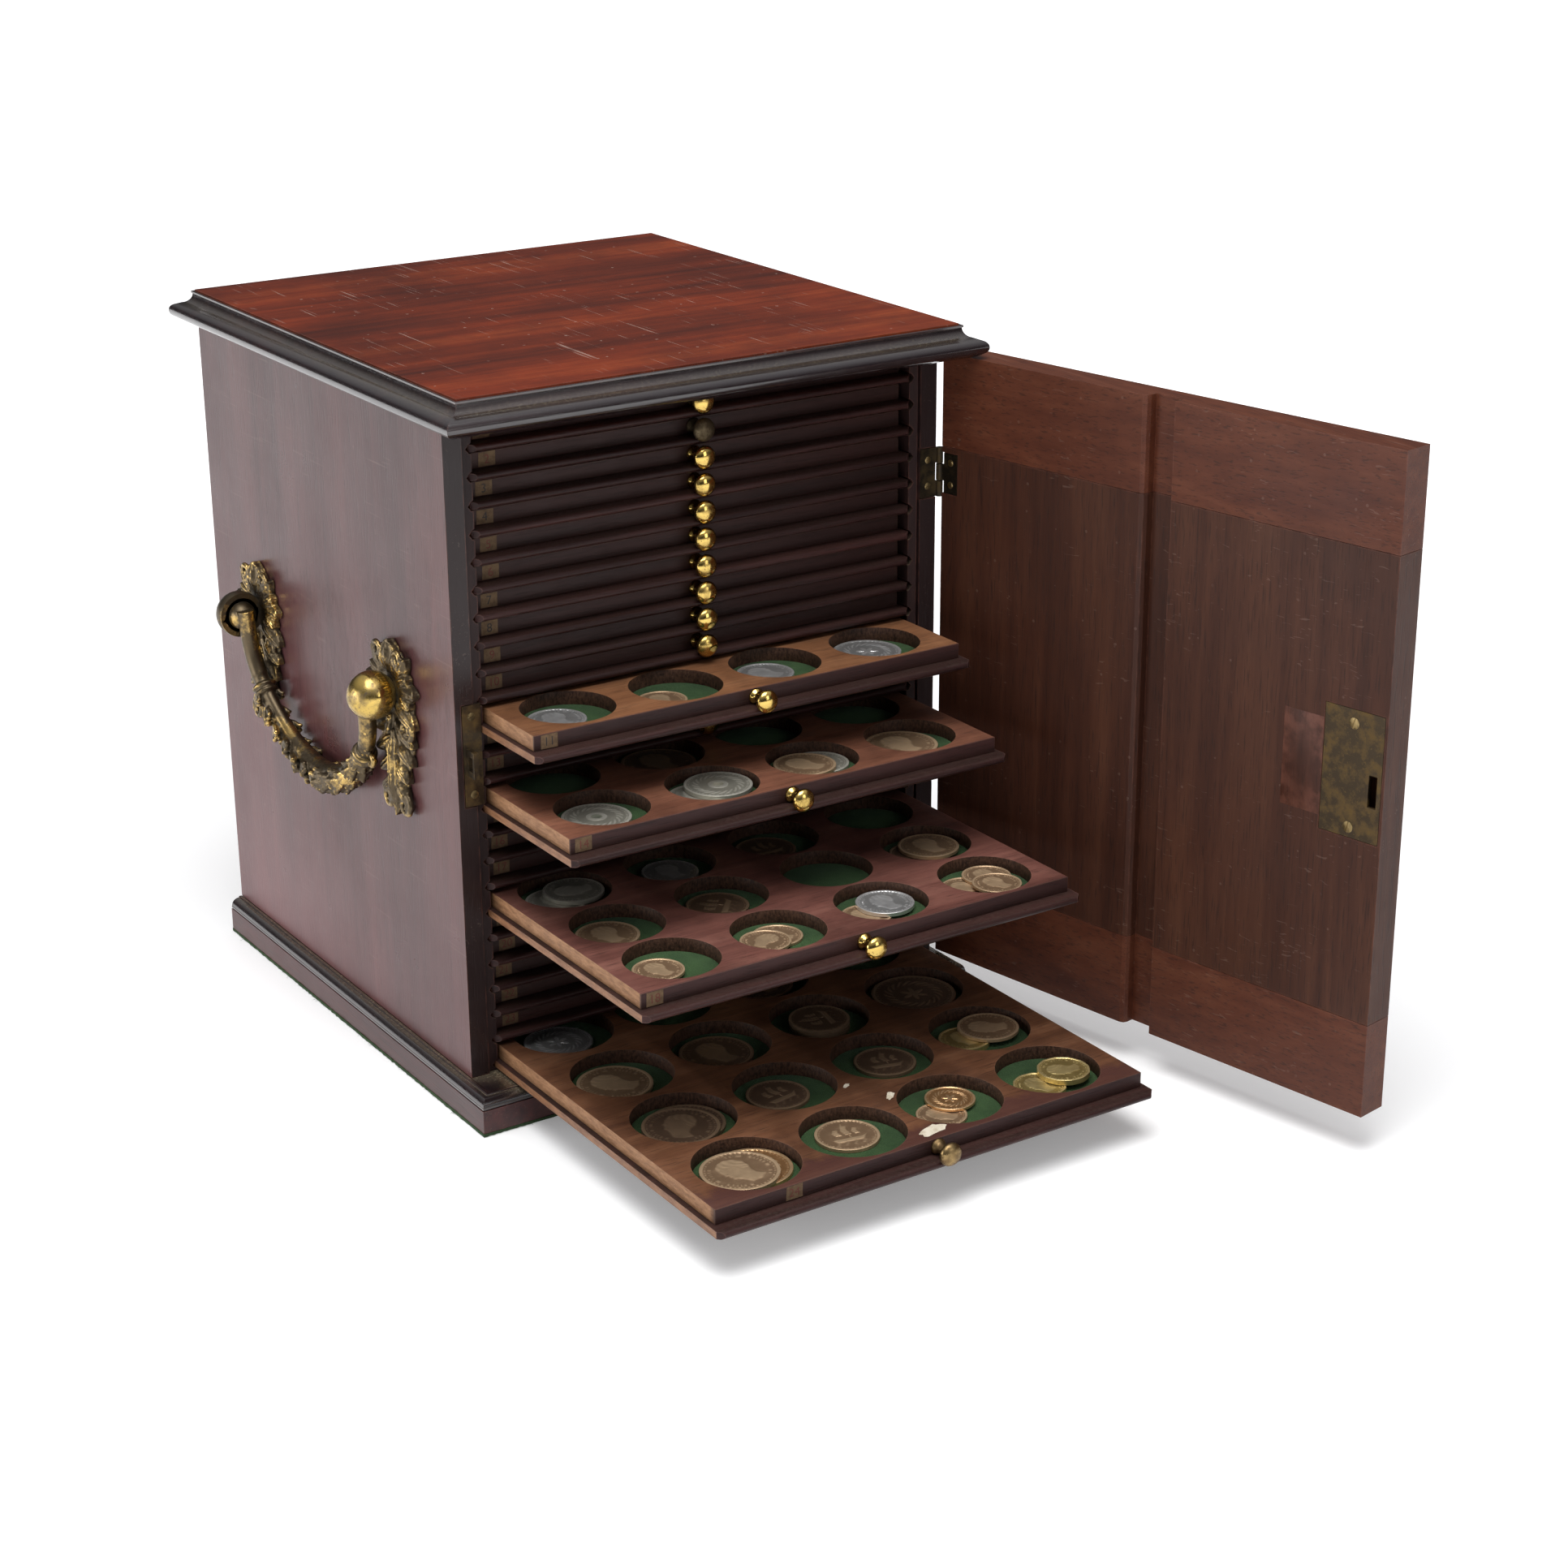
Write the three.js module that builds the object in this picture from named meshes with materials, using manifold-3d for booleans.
// A coin collector's cabinet: a mahogany case with one hinged door, 24 sliding coin trays and a
// brass drop handle on each side. Millimetres, +Z up, the front faces -Y, and the origin is the
// middle of the plinth's underside. The trays and the door stand where they rest: trays 11, 14,
// 18 and 24 are pulled forward and the door is open.
import * as THREE from 'three';
import { mergeVertices } from 'three/addons/utils/BufferGeometryUtils.js';
import Module from 'manifold-3d';

// Case
const HALF_WIDTH = 114.5;         // middle of the case to the outside of a side
const DEPTH = 229;                // front edge of the sides to the back of the case
const SIDE_THICKNESS = 8.2;
const SIDE_BOTTOM = 16.5;
const SIDE_TOP = 286.7;
const TOP_HEIGHT = 300.5;         // top of the cabinet
const TOP_UNDERSIDE = 286.8;
const FRONT_STEP = 14.2;          // top and bottom boards come forward over and under the door
const PLINTH_STEP = 5.6;          // plinth beyond the case on three sides
const BAIZE_THICKNESS = 1.1;
const PLINTH_TOP = 11.1;
const JOINT = 0.1;                // glue line between two boards
const MOULDING_GAP = 0.3;
const BACK_INSET = 8;             // the back panel's front face, from the sides' back edge
const BACK_THICKNESS = 7.7;

// Trays
const TRAY_COUNT = 24;
const TRAY_PITCH = 11.2;
const LOWEST_TRAY = 17.4;         // underside of tray 24
const TRAY_FRONT = 0.2;           // nose of the lip, behind the front edge of the sides
const FACING_FRONT = 7.0;
const TRAY_BACK = 217;
const BASE_HALF_WIDTH = 102.5;
const BOARD_HALF_WIDTH = 100.25;
const BASE_THICKNESS = 3.0;
const BOARD_TOP = 9.4;            // above the tray's underside
const CORNER_CLIP = 2.5;
const PULLED_OUT = { 11: 44.3, 14: 70.1, 18: 120.3, 24: 170.1 };
const SMALL_RECESSES = { diameter: 38, rows: 5, rowPitch: 40.5, firstRow: 22, columnPitch: 49 };
const LARGE_RECESSES = { diameter: 42, rows: 4, rowPitch: 46.2, firstRow: 23.5, columnPitch: 48 };
const FIRST_LARGE_TRAY = 19;
const COLUMNS = 4;
const BORING_ERROR = 0.8;         // the recesses were bored by hand
const KNOB_HEIGHT = 6.1;          // knob centre above the tray's underside

// Runners
const RUNNER_INSIDE = 101.6;
const RUNNER_OUTSIDE = 106.0;
const RUNNER_FRONT = 1.5;
const RUNNER_BACK = 220.5;

// Door, in the place it has when closed
const DOOR_INSIDE = -0.3;
const DOOR_OUTSIDE = -14.2;
const DOOR_BOTTOM = 17.0;
const DOOR_TOP = 286.2;
const CLAMP_HEIGHT = 39.5;
const PIN_X = 116.1;
const PIN_Y = -0.5;
const DOOR_OPEN = THREE.MathUtils.degToRad(100.8);
const CHANNEL_DEPTH = 5.6;
const CHANNEL_LEFT = -7.4;
const CHANNEL_RIGHT = 6.2;

// Hinges
const HINGE_CENTRES = { upper: 235.2, lower: 68.5 };
const KNUCKLE_RADIUS = 1.5;
const PIN_RADIUS = 0.75;
const PIN_BORE_RADIUS = 0.95;
const HINGE_HALF_HEIGHT = 10.5;
const DOOR_LEAF_HALF_HEIGHT = 8.5;
const MIDDLE_KNUCKLE = 3.4;       // half its height
const LEAF_THICKNESS = 1.1;
const FIXED_LEAF = { left: 106.7, right: 114.3 };
const DOOR_LEAF = { left: 106.0, right: 113.4 };
const LEAF_SLACK = 0.3;           // round a leaf in its notch
const LEAF_NOTCH_DEPTH = 1.4;

// Lock
const LOCK = { left: -113.1, right: -85.9, bottom: 131.7, top: 183.3 };
const LOCK_PLATE_THICKNESS = 1.2;
const LOCK_BACK = -7.1;
const KEYHOLE = { x: -99.5, z: 157 };
const STAPLE_SLOT = { left: -111.2, right: -107.4, bottom: 146, top: 159 };
const BOLT = { left: -104.8, right: -93.8, bottom: 150.4, top: 154.6 };
const STRIKE = { left: -111.4, right: -103.2, bottom: 133.6, top: 175.6 };
const STAPLE = { left: -110.3, right: -108.3, front: -6.5, bottom: 147, top: 158 };

// Side handles
const BAIL_MIDDLE = 114.5;
const BAIL_HALF_WIDTH = 57.2;     // to the middle of an arm
const PIVOT_HEIGHT = 169;
const PIVOT_OFFSET = 11.5;        // from the side of the case
const ROSETTE_Y = 64.5;           // from the middle of the bail to the middle of a ball
const BALL_RADIUS = 10;
const BAIL_TILT = THREE.MathUtils.degToRad(5.3);

const finishes = {
  mahogany: { color: 0x4b2b27, roughness: 0.45, metalness: 0 },
  darkMahogany: { color: 0x33201f, roughness: 0.4, metalness: 0 },
  polishedTop: { color: 0x7a3b30, roughness: 0.3, metalness: 0 },
  doorWood: { color: 0x46241c, roughness: 0.45, metalness: 0 },
  trayBoard: { color: 0x8a5a3a, roughness: 0.6, metalness: 0 },
  trayBase: { color: 0x5a352c, roughness: 0.5, metalness: 0 },
  secondary: { color: 0x5c3a28, roughness: 0.7, metalness: 0 },
  baize: { color: 0x1f5a35, roughness: 1, metalness: 0 },
  brass: { color: 0xb8923e, roughness: 0.25, metalness: 1 },
  oldBrass: { color: 0x7d6a48, roughness: 0.5, metalness: 1 },
};
const materials = {};
for (const [name, values] of Object.entries(finishes)) {
  materials[name] = new THREE.MeshStandardMaterial(values);
}

const wasm = await Module();
wasm.setup();

// ---- Geometry helpers ----

// Merges shared corners and turns every face outwards.
function closedMesh(geometry) {
  geometry.deleteAttribute('normal');
  geometry.deleteAttribute('uv');
  const merged = mergeVertices(geometry, 1e-4);
  const corner = [new THREE.Vector3(), new THREE.Vector3(), new THREE.Vector3()];
  const index = merged.index.array;
  let volume = 0;
  for (let i = 0; i < index.length; i += 3) {
    for (let k = 0; k < 3; k += 1) {
      corner[k].fromBufferAttribute(merged.attributes.position, index[i + k]);
    }
    volume += corner[0].dot(corner[1].clone().cross(corner[2])) / 6;
  }
  if (volume < 0) {
    for (let i = 0; i < index.length; i += 3) {
      const first = index[i];
      index[i] = index[i + 1];
      index[i + 1] = first;
    }
  }
  return merged;
}

function toSolid(geometry) {
  const merged = closedMesh(geometry);
  return new wasm.Manifold(new wasm.Mesh({
    numProp: 3,
    vertProperties: new Float32Array(merged.attributes.position.array),
    triVerts: new Uint32Array(merged.index.array),
  }));
}

function fromSolid(solid) {
  const { vertProperties, triVerts } = solid.getMesh();
  const geometry = new THREE.BufferGeometry();
  geometry.setAttribute('position', new THREE.BufferAttribute(vertProperties, 3));
  geometry.setIndex(new THREE.BufferAttribute(triVerts, 1));
  return geometry;
}

function box(x0, x1, y0, y1, z0, z1) {
  const geometry = new THREE.BoxGeometry(x1 - x0, y1 - y0, z1 - z0);
  return geometry.translate((x0 + x1) / 2, (y0 + y1) / 2, (z0 + z1) / 2);
}

function outline(points) {
  return new THREE.Shape(points.map(([a, b]) => new THREE.Vector2(a, b)));
}

function extruded(shape, length, curveSegments = 6) {
  return new THREE.ExtrudeGeometry(shape, { depth: length, bevelEnabled: false, curveSegments });
}

// An outline of [x, y] points, standing from z0 to z1.
function prismZ(points, z0, z1) {
  return extruded(outline(points), z1 - z0).translate(0, 0, z0);
}

// An outline of [y, z] points, running from x0 to x1.
function prismX(points, x0, x1) {
  const turn = new THREE.Matrix4().makeBasis(
    new THREE.Vector3(0, 1, 0), new THREE.Vector3(0, 0, 1), new THREE.Vector3(1, 0, 0));
  return extruded(outline(points), x1 - x0).applyMatrix4(turn).translate(x0, 0, 0);
}

// An outline of [x, z] points, running from y0 to y1.
function prismY(points, y0, y1) {
  const turn = new THREE.Matrix4().makeBasis(
    new THREE.Vector3(1, 0, 0), new THREE.Vector3(0, 0, 1), new THREE.Vector3(0, -1, 0));
  return extruded(outline(points), y1 - y0).applyMatrix4(turn).translate(0, y1, 0);
}

// A cylinder along +Z.
function rod(radius, z0, z1, x, y, sides = 12) {
  const geometry = new THREE.CylinderGeometry(radius, radius, z1 - z0, sides);
  return geometry.rotateX(Math.PI / 2).translate(x, y, (z0 + z1) / 2);
}

// A moulding swept along straight runs with mitred corners. The profile holds [outwards, z]
// points; each corner holds its place and the direction in which the profile steps outwards.
function mitredRun(profile, corners, isRing) {
  const positions = [];
  for (const { x, y, outX, outY } of corners) {
    for (const [out, z] of profile) {
      positions.push(x + out * outX, y + out * outY, z);
    }
  }
  const size = profile.length;
  const runs = isRing ? corners.length : corners.length - 1;
  const index = [];
  for (let run = 0; run < runs; run += 1) {
    const here = run * size;
    const next = ((run + 1) % corners.length) * size;
    for (let k = 0; k < size; k += 1) {
      const k2 = (k + 1) % size;
      index.push(here + k, next + k, next + k2, here + k, next + k2, here + k2);
    }
  }
  if (!isRing) {
    const points = profile.map(([a, b]) => new THREE.Vector2(a, b));
    const last = (corners.length - 1) * size;
    const turn = Math.sign(THREE.ShapeUtils.area(points));
    for (const [a, b, c] of THREE.ShapeUtils.triangulateShape(points, [])) {
      const sameTurn = Math.sign(THREE.ShapeUtils.area([points[a], points[b], points[c]])) === turn;
      const face = sameTurn ? [a, b, c] : [a, c, b];
      index.push(...face, last + face[0], last + face[2], last + face[1]);
    }
  }
  const geometry = new THREE.BufferGeometry();
  geometry.setAttribute('position', new THREE.Float32BufferAttribute(positions, 3));
  geometry.setIndex(index);
  return geometry;
}

function piece(name, geometry, finish, parent) {
  const mesh = new THREE.Mesh(closedMesh(geometry), materials[finish]);
  mesh.name = name;
  parent.add(mesh);
  return mesh;
}

// ---- Case ----

function boards(cabinet) {
  const plinthHalf = HALF_WIDTH + PLINTH_STEP;
  const plinthFront = -FRONT_STEP - PLINTH_STEP;
  piece('base_baize', box(-plinthHalf, plinthHalf, plinthFront, DEPTH, 0, BAIZE_THICKNESS),
    'baize', cabinet);
  piece('plinth', box(-plinthHalf, plinthHalf, plinthFront, DEPTH, BAIZE_THICKNESS + JOINT,
    PLINTH_TOP), 'darkMahogany', cabinet);
  piece('bottom_board', box(-HALF_WIDTH, HALF_WIDTH, -FRONT_STEP, DEPTH, PLINTH_TOP + JOINT,
    SIDE_BOTTOM - JOINT), 'darkMahogany', cabinet);
  piece('top_board', box(-HALF_WIDTH - MOULDING_GAP, HALF_WIDTH + MOULDING_GAP, -FRONT_STEP,
    DEPTH + MOULDING_GAP, TOP_UNDERSIDE, TOP_HEIGHT), 'polishedTop', cabinet);
  piece('back_panel', box(-RUNNER_OUTSIDE, RUNNER_OUTSIDE, DEPTH - BACK_INSET,
    DEPTH - BACK_INSET + BACK_THICKNESS, SIDE_BOTTOM + MOULDING_GAP,
    SIDE_TOP - MOULDING_GAP), 'secondary', cabinet);
}

// The sides are let in at the front edge for the strike plate and the hinge leaves.
function sides(cabinet) {
  const inside = HALF_WIDTH - SIDE_THICKNESS;
  const left = toSolid(box(-HALF_WIDTH, -inside, 0, DEPTH, SIDE_BOTTOM, SIDE_TOP))
    .subtract(toSolid(box(STRIKE.left - LEAF_SLACK, -inside + 1, -1, 1.5,
      STRIKE.bottom - LEAF_SLACK, STRIKE.top + LEAF_SLACK)));
  piece('left_side', fromSolid(left), 'mahogany', cabinet);

  let right = toSolid(box(inside, HALF_WIDTH, 0, DEPTH, SIDE_BOTTOM, SIDE_TOP));
  const reach = HINGE_HALF_HEIGHT + LEAF_SLACK;
  for (const z of Object.values(HINGE_CENTRES)) {
    right = right.subtract(toSolid(box(FIXED_LEAF.left - LEAF_SLACK, HALF_WIDTH + 1, -1,
      LEAF_NOTCH_DEPTH, z - reach, z + reach)));
  }
  piece('right_side', fromSolid(right), 'mahogany', cabinet);
}

function trayHeight(number) {
  return LOWEST_TRAY + (TRAY_COUNT - number) * TRAY_PITCH;
}

// One V-groove per tray, blunt at its mouth, holds the tray's base board.
function runner(name, sign, cabinet) {
  const bottom = SIDE_BOTTOM + MOULDING_GAP;
  const top = SIDE_TOP - JOINT * 2;
  const points = [[sign * RUNNER_OUTSIDE, bottom], [sign * RUNNER_INSIDE, bottom]];
  for (let number = TRAY_COUNT; number >= 1; number -= 1) {
    const middle = trayHeight(number) + BASE_THICKNESS / 2;
    const groove = [[0, -2.05], [1.0, -1.8], [2.4, 0], [1.0, 1.8], [0, 2.3]];
    for (const [depth, rise] of groove) {
      points.push([sign * (RUNNER_INSIDE + depth), middle + rise]);
    }
  }
  points.push([sign * RUNNER_INSIDE, top], [sign * RUNNER_OUTSIDE, top]);
  piece(name, prismY(points, RUNNER_FRONT, RUNNER_BACK), 'darkMahogany', cabinet);
}

function mouldings(cabinet) {
  const x = HALF_WIDTH;
  const back = DEPTH;
  const front = -FRONT_STEP;
  const topProfile = [[0.6, 286.9], [4.5, 286.9], [7.0, 287.5], [8.9, 289.1], [9.4, 291.2],
    [8.9, 292.6], [7.0, 293.7], [4.6, 295.0], [3.0, 296.7], [2.2, 298.6], [1.6, 298.8],
    [1.6, 299.9], [0.6, 299.9]];
  const ring = [
    { x: -x, y: front, outX: -1, outY: -1 }, { x, y: front, outX: 1, outY: -1 },
    { x, y: back, outX: 1, outY: 1 }, { x: -x, y: back, outX: -1, outY: 1 },
  ];
  piece('top_moulding', mitredRun(topProfile, ring, true), 'darkMahogany', cabinet);

  const baseProfile = [[0.3, 11.3], [5.4, 11.3], [5.4, 12.4], [4.9, 13.9], [3.7, 15.2],
    [2.3, 15.7], [1.6, 15.7], [1.6, 16.4], [0.3, 16.4]];
  const threeSides = [
    { x: -x, y: back, outX: -1, outY: 0 }, { x: -x, y: front, outX: -1, outY: -1 },
    { x, y: front, outX: 1, outY: -1 }, { x, y: back, outX: 1, outY: 0 },
  ];
  piece('base_moulding', mitredRun(baseProfile, threeSides, false), 'darkMahogany', cabinet);
}

// Plate let into the case's left front edge, with the staple that the bolt passes through.
function strikePlate(cabinet) {
  const boltRoom = 0.8;
  const solid = toSolid(box(STRIKE.left, STRIKE.right, 0, LOCK_PLATE_THICKNESS, STRIKE.bottom,
    STRIKE.top))
    .add(toSolid(box(STAPLE.left, STAPLE.right, STAPLE.front, 0.6, STAPLE.bottom, STAPLE.top)))
    .subtract(toSolid(box(STAPLE.left - 1, STAPLE.right + 1, STAPLE.front + 1.4, -1.9,
      BOLT.bottom - boltRoom, BOLT.top + boltRoom)));
  piece('strike_plate', fromSolid(solid), 'oldBrass', cabinet);
}

// ---- Hinges ----

function fixedLeaf(name, z, cabinet) {
  let solid = toSolid(box(FIXED_LEAF.left, FIXED_LEAF.right, 0, LEAF_THICKNESS,
    z - HINGE_HALF_HEIGHT, z + HINGE_HALF_HEIGHT));
  const gap = MIDDLE_KNUCKLE + 0.5;
  for (const [low, high] of [[z - HINGE_HALF_HEIGHT, z - gap], [z + gap, z + HINGE_HALF_HEIGHT]]) {
    solid = solid.add(toSolid(box(FIXED_LEAF.right - 0.1, PIN_X - 0.7, 0, LEAF_THICKNESS - 0.1,
      low, high)))
      .add(toSolid(rod(KNUCKLE_RADIUS, low, high, PIN_X, PIN_Y)));
  }
  solid = solid.add(toSolid(rod(PIN_RADIUS, z - gap - 0.2, z + gap + 0.2, PIN_X, PIN_Y)));
  piece(name, fromSolid(solid), 'oldBrass', cabinet);
}

function doorLeaf(name, z, door) {
  const back = DOOR_INSIDE - LEAF_THICKNESS;
  const reach = DOOR_LEAF_HALF_HEIGHT;
  const low = z - MIDDLE_KNUCKLE;
  const high = z + MIDDLE_KNUCKLE;
  const solid = toSolid(box(DOOR_LEAF.left, DOOR_LEAF.right, back, DOOR_INSIDE, z - reach, z + reach))
    .add(toSolid(box(DOOR_LEAF.right - 0.1, PIN_X - 0.7, back, DOOR_INSIDE, low, high)))
    .add(toSolid(rod(KNUCKLE_RADIUS, low, high, PIN_X, PIN_Y)))
    .subtract(toSolid(rod(PIN_BORE_RADIUS, low - 1, high + 1, PIN_X, PIN_Y)));
  piece(name, fromSolid(solid), 'oldBrass', door);
}

// ---- Door ----

// The groove that clears the knobs: square on the lock's side, rounded on the hinges' side.
function knobChannel() {
  const bottom = DOOR_INSIDE - CHANNEL_DEPTH;
  const open = DOOR_INSIDE + 1;
  const points = [[CHANNEL_LEFT, open], [CHANNEL_LEFT, bottom], [CHANNEL_RIGHT, bottom],
    [CHANNEL_RIGHT, DOOR_INSIDE - 2.3], [CHANNEL_RIGHT + 0.7, DOOR_INSIDE - 0.7],
    [CHANNEL_RIGHT + 2.4, DOOR_INSIDE], [CHANNEL_RIGHT + 2.4, open]];
  return toSolid(prismZ(points, DOOR_BOTTOM - 1, DOOR_TOP + 1));
}

function keySlot(y0, y1) {
  return toSolid(box(KEYHOLE.x - 1.5, KEYHOLE.x + 1.5, y0, y1, KEYHOLE.z - 4, KEYHOLE.z + 3));
}

function doorPieces(door) {
  const clampEdge = { bottom: DOOR_BOTTOM + CLAMP_HEIGHT, top: DOOR_TOP - CLAMP_HEIGHT };
  const board = (z0, z1) => toSolid(box(-HALF_WIDTH, HALF_WIDTH, DOOR_OUTSIDE, DOOR_INSIDE, z0, z1))
    .subtract(knobChannel());
  piece('door_clamp_bottom', fromSolid(board(DOOR_BOTTOM, clampEdge.bottom)), 'doorWood', door);
  piece('door_clamp_top', fromSolid(board(clampEdge.top, DOOR_TOP)), 'doorWood', door);

  let panel = board(clampEdge.bottom + 0.2, clampEdge.top - 0.2)
    .subtract(toSolid(box(LOCK.left - 0.2, LOCK.right + 0.2, -1.7, 1, LOCK.bottom - 0.2,
      LOCK.top + 0.2)))
    .subtract(toSolid(box(LOCK.left - 0.1, LOCK.right - 0.9, LOCK_BACK - 0.3, 1,
      LOCK.bottom + 2, LOCK.top - 2)))
    .subtract(keySlot(DOOR_OUTSIDE - 1, LOCK_BACK + 1));
  const reach = DOOR_LEAF_HALF_HEIGHT + LEAF_SLACK;
  for (const z of Object.values(HINGE_CENTRES)) {
    panel = panel.subtract(toSolid(box(DOOR_LEAF.left - LEAF_SLACK, HALF_WIDTH + 1,
      DOOR_INSIDE - LEAF_NOTCH_DEPTH, 1, z - reach, z + reach)));
  }
  piece('door_board', fromSolid(panel), 'doorWood', door);
  doorLeaf('hinge_upper_door_leaf', HINGE_CENTRES.upper, door);
  doorLeaf('hinge_lower_door_leaf', HINGE_CENTRES.lower, door);
}

// The lock's plate carries its case, which is open towards the outside of the door.
function lock(door) {
  const plateBack = DOOR_INSIDE - LOCK_PLATE_THICKNESS;
  const wall = 1.1;
  const caseLeft = LOCK.left + 0.2;
  const caseRight = LOCK.right - 1.2;
  const caseBottom = LOCK.bottom + 2.3;
  const caseTop = LOCK.top - 2.3;
  const solid = toSolid(box(LOCK.left, LOCK.right, plateBack, DOOR_INSIDE, LOCK.bottom, LOCK.top))
    .add(toSolid(box(caseLeft, caseRight, LOCK_BACK, plateBack + 0.5, caseBottom, caseTop)))
    .subtract(toSolid(box(caseLeft + wall, caseRight - wall, LOCK_BACK - 1, plateBack,
      caseBottom + wall, caseTop - wall)))
    .subtract(toSolid(box(STAPLE_SLOT.left, STAPLE_SLOT.right, plateBack - 1, 1, STAPLE_SLOT.bottom,
      STAPLE_SLOT.top)));
  piece('lock_plate', fromSolid(solid), 'oldBrass', door);
  piece('lock_bolt', box(BOLT.left, BOLT.right, -4.6, -2.4, BOLT.bottom, BOLT.top), 'brass', door);

  const oval = [];
  for (let k = 0; k < 16; k += 1) {
    const angle = (k / 16) * 2 * Math.PI;
    oval.push([KEYHOLE.x + 5 * Math.cos(angle), KEYHOLE.z - 0.5 + 9 * Math.sin(angle)]);
  }
  const front = DOOR_OUTSIDE - MOULDING_GAP;
  const plate = toSolid(prismY(oval, front - 0.9, front)).subtract(keySlot(front - 2, front + 1));
  piece('keyhole_escutcheon', fromSolid(plate), 'brass', door);
}

// ---- Trays ----

// Base board: a thin board whose front edge is a rounded lip with clipped corners.
function trayBase() {
  const y = TRAY_FRONT;
  const profile = [[y + 1.5, 0], [TRAY_BACK, 0], [TRAY_BACK, BASE_THICKNESS],
    [y + 2.2, BASE_THICKNESS], [y + 0.9, 2.7], [y + 0.2, 2.1], [y, 1.4], [y + 0.4, 0.5]];
  const x = BASE_HALF_WIDTH;
  const clipped = x - CORNER_CLIP;
  const plan = [[-clipped, -1], [clipped, -1], [clipped, y], [x, y + CORNER_CLIP],
    [x, TRAY_BACK + 1], [-x, TRAY_BACK + 1], [-x, y + CORNER_CLIP], [-clipped, y]];
  return toSolid(prismX(profile, -x - 1, x + 1)).intersect(toSolid(prismZ(plan, -1, 5)));
}

function recessCentres(number) {
  const kind = number < FIRST_LARGE_TRAY ? SMALL_RECESSES : LARGE_RECESSES;
  const centres = [];
  for (let row = 0; row < kind.rows; row += 1) {
    for (let column = 0; column < COLUMNS; column += 1) {
      const seed = number * 31 + row * 7 + column * 3;
      centres.push({
        x: (column - (COLUMNS - 1) / 2) * kind.columnPitch + BORING_ERROR * Math.sin(seed * 1.7),
        y: FACING_FRONT + kind.firstRow + row * kind.rowPitch + BORING_ERROR * Math.sin(seed * 2.9),
        radius: kind.diameter / 2,
      });
    }
  }
  return centres;
}

// Upper board: bored right through, so that the base board is each recess's floor.
function recessedBoard(number) {
  const x = BOARD_HALF_WIDTH;
  const low = BASE_THICKNESS + JOINT;
  let board = toSolid(box(-x, x, FACING_FRONT, TRAY_BACK, low, BOARD_TOP));
  for (const centre of recessCentres(number)) {
    board = board.subtract(toSolid(rod(centre.radius, low - 1, BOARD_TOP + 1, centre.x, centre.y)));
  }
  return fromSolid(board);
}

// A turned knob: collar, neck and domed head. It starts `sunk` millimetres inside the facing.
function knob(sunk) {
  const profile = [[0, -sunk], [2.9, -sunk], [3.1, 0.8], [2.7, 1.7], [2.1, 2.4], [2.0, 6.6],
    [4.2, 7.3], [4.8, 8.6], [3.7, 10.3], [0, 11.2]];
  const points = profile.map(([radius, out]) => new THREE.Vector2(radius, out));
  const geometry = new THREE.LatheGeometry(points, 10);
  return geometry.rotateX(Math.PI).translate(0, FACING_FRONT, KNOB_HEIGHT);
}

function tray(number, cabinet) {
  const group = new THREE.Group();
  group.position.set(0, -(PULLED_OUT[number] ?? 0), trayHeight(number));
  cabinet.add(group);
  const name = `tray_${String(number).padStart(2, '0')}`;
  if (number in PULLED_OUT) {
    piece(`${name}_base`, fromSolid(trayBase()), 'trayBase', group);
    piece(`${name}_board`, recessedBoard(number), 'trayBoard', group);
    piece(`${name}_knob`, knob(-0.1), 'brass', group);
    return;
  }
  const board = box(-BOARD_HALF_WIDTH, BOARD_HALF_WIDTH, FACING_FRONT, TRAY_BACK,
    BASE_THICKNESS - JOINT, BOARD_TOP);
  const solid = trayBase().add(toSolid(board)).add(toSolid(knob(1)));
  piece(name, fromSolid(solid), 'trayBase', group);
}

// ---- Side handles ----
// Both are modelled with local +X pointing away from the case and the pivot line along Y.

// Cast plate with a leafy outline and a ball boss, bored on the side that faces the bail.
function rosette(inward) {
  const leaf = [];
  const points = 24;
  for (let k = 0; k < points; k += 1) {
    const angle = (k / points) * 2 * Math.PI;
    const lobes = 1 + 0.06 * Math.cos(6 * angle);
    const taper = 1 + 0.18 * Math.sin(angle);
    leaf.push([21 * lobes * taper * Math.cos(angle), 37.75 * Math.sin(angle) - 15.75]);
  }
  const ball = new THREE.SphereGeometry(BALL_RADIUS, 14, 10).rotateX(Math.PI / 2)
    .translate(PIVOT_OFFSET, 0, 0);
  const cut = 2.6 * inward;
  const far = 20 * inward;
  const bore = new THREE.CylinderGeometry(3.6, 3.6, 12, 12)
    .translate(PIVOT_OFFSET, 2.6 * inward, 0);
  const solid = toSolid(ball)
    .subtract(toSolid(box(0, 40, Math.min(cut, far), Math.max(cut, far), -20, 20)))
    .subtract(toSolid(bore))
    .add(toSolid(prismX(leaf, JOINT, 2.9)));
  return fromSolid(solid);
}

// Half of the bail's centre line as [y, z] from the pivot line, from an arm to the middle.
const BAIL_HALF_LINE = [[57.2, 3.5], [57.2, -10], [53.5, -20], [46, -33], [33, -45], [17, -53]];

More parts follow.
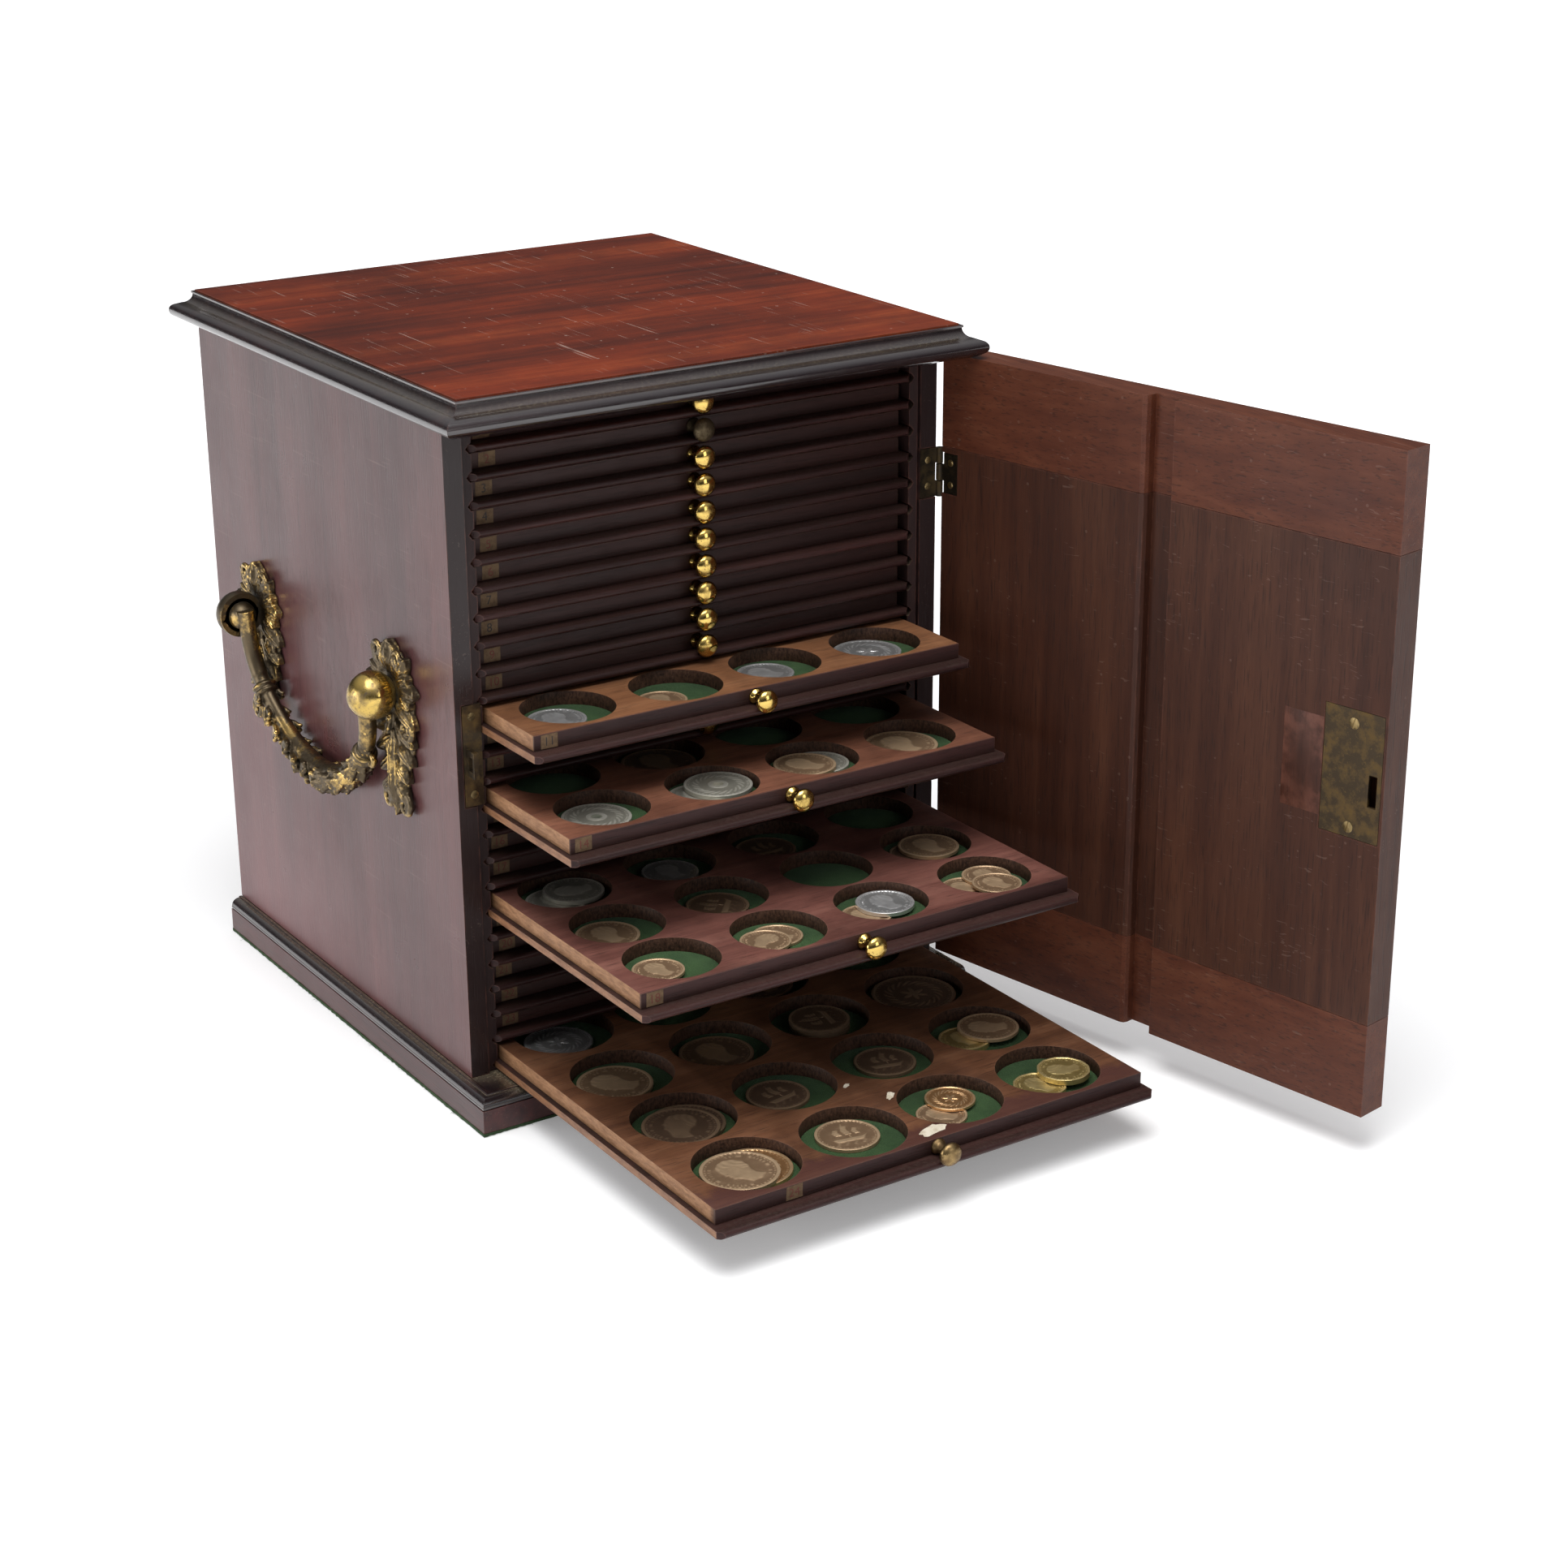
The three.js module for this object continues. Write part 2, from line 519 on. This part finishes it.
function bail() {
  const right = BAIL_HALF_LINE.map(([y, z]) => new THREE.Vector3(0, y, z));
  const left = BAIL_HALF_LINE.map(([y, z]) => new THREE.Vector3(0, -y, z)).reverse();
  const line = new THREE.CatmullRomCurve3([...right, new THREE.Vector3(0, 0, -56), ...left]);
  const tube = (path, radius, steps) => {
    const ring = new THREE.Shape();
    ring.absarc(0, 0, radius, 0, 2 * Math.PI);
    return toSolid(new THREE.ExtrudeGeometry(ring,
      { extrudePath: path, steps, bevelEnabled: false, curveSegments: 4 }));
  };
  const gripPoints = [];
  for (let k = 0; k <= 12; k += 1) {
    gripPoints.push(line.getPointAt(0.24 + (0.52 * k) / 12));
  }
  let solid = tube(line, 3.85, 26).add(tube(new THREE.CatmullRomCurve3(gripPoints), 5.2, 14));
  for (const side of [-1, 1]) {
    const stub = new THREE.CylinderGeometry(3.2, 3.2, 10.2, 8)
      .translate(0, side * (BAIL_HALF_WIDTH + 5.1), 0);
    const collar = new THREE.SphereGeometry(5.7, 8, 6).translate(0, side * 46, -33);
    solid = solid.add(toSolid(stub)).add(toSolid(collar));
  }
  return fromSolid(solid);
}

function handle(sideName, sign, cabinet) {
  const base = new THREE.Group();
  base.position.set(sign * HALF_WIDTH, BAIL_MIDDLE, PIVOT_HEIGHT);
  base.rotation.z = sign > 0 ? 0 : Math.PI;
  cabinet.add(base);
  for (const [end, worldSide] of [['front', -1], ['back', 1]]) {
    const localSide = sign * worldSide;
    const plate = piece(`handle_${sideName}_rosette_${end}`, rosette(-localSide), 'brass', base);
    plate.position.y = localSide * ROSETTE_Y;
  }
  const swing = piece(`handle_${sideName}_bail`, bail(), 'brass', base);
  swing.position.x = PIVOT_OFFSET;
  swing.rotation.y = BAIL_TILT;
}

// ---- Assembly ----

const cabinet = new THREE.Group();
cabinet.position.y = -(DEPTH - FRONT_STEP - PLINTH_STEP) / 2;
boards(cabinet);
sides(cabinet);
runner('left_runner', -1, cabinet);
runner('right_runner', 1, cabinet);
mouldings(cabinet);
strikePlate(cabinet);
fixedLeaf('hinge_upper_fixed_leaf', HINGE_CENTRES.upper, cabinet);
fixedLeaf('hinge_lower_fixed_leaf', HINGE_CENTRES.lower, cabinet);
handle('left', -1, cabinet);
handle('right', 1, cabinet);
for (let number = 1; number <= TRAY_COUNT; number += 1) {
  tray(number, cabinet);
}

const hinged = new THREE.Group();
hinged.position.set(PIN_X, PIN_Y, 0);
hinged.rotation.z = DOOR_OPEN;
cabinet.add(hinged);
const door = new THREE.Group();
door.position.set(-PIN_X, -PIN_Y, 0);
hinged.add(door);
doorPieces(door);
lock(door);

export default cabinet;
